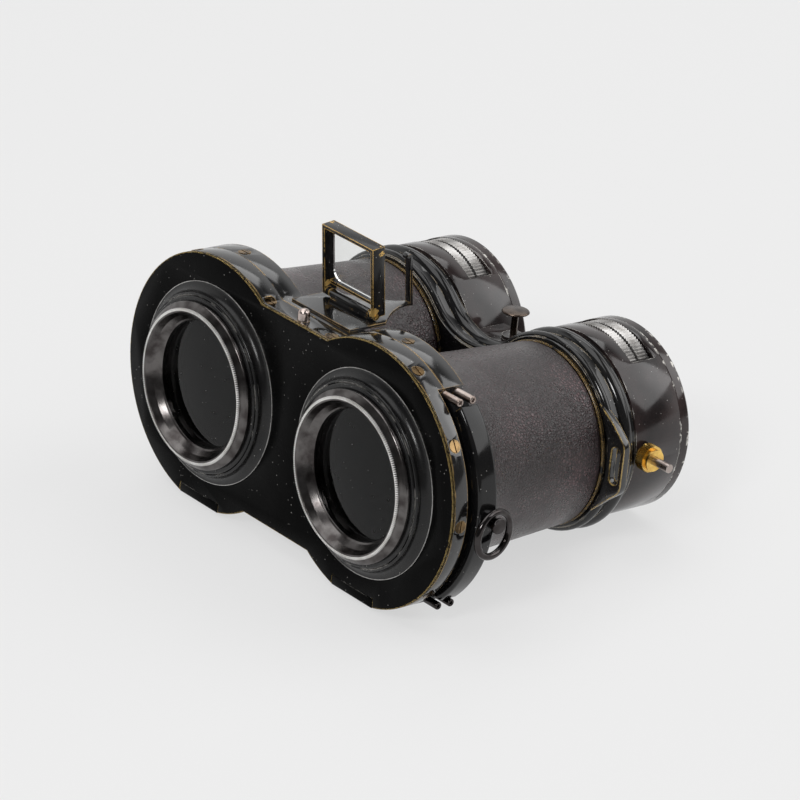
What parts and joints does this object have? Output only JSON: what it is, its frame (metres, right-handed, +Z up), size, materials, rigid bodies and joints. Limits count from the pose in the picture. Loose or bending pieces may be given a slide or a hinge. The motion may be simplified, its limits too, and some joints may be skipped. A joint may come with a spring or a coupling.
{
  "type": "binocular camera",
  "caption": "Field glass camera: leather barrels, black figure-eight front with a sideways plate drawer, revolving lens wheels, folding frame finder and sliding shutter.",
  "frame": {"origin": "middle of the standing camera's box, on the surface it stands on", "axes": "+Z up, +X to the drawer's side, +Y from the objectives to the eyepieces; the lens axes tip down to the rear by 7 degrees, because the camera stands on its front feet and on the rims of its rear caps"},
  "size_m": [0.1517, 0.1067, 0.089],
  "materials": {
    "black_lacquer": "glossy black lacquer over brass, worn through at the edges",
    "grained_leather": "fine-grained dark leather",
    "oxidised_steel": "dark polished, bright where worn",
    "steel": "satin, tarnished",
    "brass": "polished, tarnished",
    "lens_glass": "polished",
    "plate_glass": "coated"
  },
  "bodies": {
    "camera_body": {"front_plate": "black_lacquer", "lid_band": "black_lacquer", "foot_blocks": "black_lacquer", "lid_screws": "brass", "objective_mount_left": "black_lacquer", "objective_mount_right": "black_lacquer", "objective_bezel_left": "oxidised_steel", "objective_bezel_right": "oxidised_steel", "objective_lens_left": "lens_glass", "objective_lens_right": "lens_glass", "objective_retainer_left": "black_lacquer", "objective_retainer_right": "black_lacquer", "front_partition": "black_lacquer", "body_frame": "black_lacquer", "back_wall": "black_lacquer", "frame_screws": "brass", "guide_rods": "steel", "barrel_tube_left": "black_lacquer", "barrel_tube_right": "black_lacquer", "barrel_leather_left": "grained_leather", "barrel_leather_right": "grained_leather", "rear_bridge": "black_lacquer", "turret_drum_left": "black_lacquer", "turret_drum_right": "black_lacquer", "drum_cap_left": "black_lacquer", "drum_cap_right": "black_lacquer", "spindle_left": "steel", "spindle_right": "steel", "wheel_spacers": "brass", "detent_spring_left": "steel", "detent_spring_right": "steel", "shutter_housing": "black_lacquer", "release_bush": "brass", "release_spring": "steel", "tension_stud": "steel", "finder_base": "black_lacquer", "finder_pin": "brass", "catch_spring": "steel"},
    "plate_drawer": {"plate_drawer": "black_lacquer", "drawer_front": "black_lacquer", "plate_sheaths": "steel", "glass_plates": "plate_glass", "ring_post": "black_lacquer"},
    "pull_ring": {"pull_ring": "steel"},
    "lens_wheel_left": {"lens_wheel_left": "steel", "eyepiece_lenses_left": "lens_glass", "camera_lens_left": "brass"},
    "lens_wheel_right": {"lens_wheel_right": "steel", "eyepiece_lenses_right": "lens_glass", "camera_lens_right": "brass"},
    "stop_wheel_left": {"stop_wheel_left": "steel"},
    "stop_wheel_right": {"stop_wheel_right": "steel"},
    "shutter_plate": {"shutter_plate": "steel"},
    "release_knob": {"release_knob": "steel"},
    "tension_nut": {"tension_nut": "brass"},
    "finder_frame": {"finder_frame": "black_lacquer", "finder_lens": "lens_glass"},
    "catch_button": {"catch_button": "steel"}
  },
  "joints": [
    {"name": "drawer_slide", "type": "slide", "parent": "camera_body", "child": "plate_drawer", "axis": [1, 0, 0], "range_m": [0, 0.1]},
    {"name": "ring_swing", "type": "hinge", "parent": "plate_drawer", "child": "pull_ring", "pos_m": [0.07318, -0.03302, 0.03642], "axis": [1, 0, 0], "continuous": true},
    {"name": "lens_wheel_turn_left", "type": "hinge", "parent": "camera_body", "child": "lens_wheel_left", "pos_m": [-0.03835, 0.03868, 0.03615], "axis": [0, 0.9925, -0.1223], "continuous": true},
    {"name": "stop_wheel_turn_left", "type": "hinge", "parent": "camera_body", "child": "stop_wheel_left", "pos_m": [-0.03835, 0.03868, 0.03615], "axis": [0, 0.9925, -0.1223], "continuous": true},
    {"name": "lens_wheel_turn_right", "type": "hinge", "parent": "camera_body", "child": "lens_wheel_right", "pos_m": [0.03165, 0.03868, 0.03615], "axis": [0, 0.9925, -0.1223], "continuous": true},
    {"name": "stop_wheel_turn_right", "type": "hinge", "parent": "camera_body", "child": "stop_wheel_right", "pos_m": [0.03165, 0.03868, 0.03615], "axis": [0, 0.9925, -0.1223], "continuous": true},
    {"name": "shutter_slide", "type": "slide", "parent": "camera_body", "child": "shutter_plate", "axis": [1, 0, 0], "range_m": [-0.016, 0]},
    {"name": "release_press", "type": "slide", "parent": "camera_body", "child": "release_knob", "axis": [0, -0.1223, -0.9925], "range_m": [0, 0.0015], "stiffness_N_per_m": 300, "springref_m": -0.001, "deforming": ["release_spring"]},
    {"name": "tension_turn", "type": "hinge", "parent": "camera_body", "child": "tension_nut", "pos_m": [0.06065, 0.03266, 0.02974], "axis": [1, 0, 0], "range_deg": [0, 1080]},
    {"name": "finder_fold", "type": "hinge", "parent": "camera_body", "child": "finder_frame", "pos_m": [-0.00335, -0.02046, 0.06882], "axis": [1, 0, 0], "range_deg": [0, 82]},
    {"name": "catch_press", "type": "slide", "parent": "camera_body", "child": "catch_button", "axis": [0, -0.1223, -0.9925], "range_m": [0, 0.001], "stiffness_N_per_m": 300, "springref_m": -0.001, "deforming": ["catch_spring"]}
  ],
  "couplings": [
    {"joint": "release_press", "follows": "shutter_slide", "ratio": -0.09375}
  ]
}
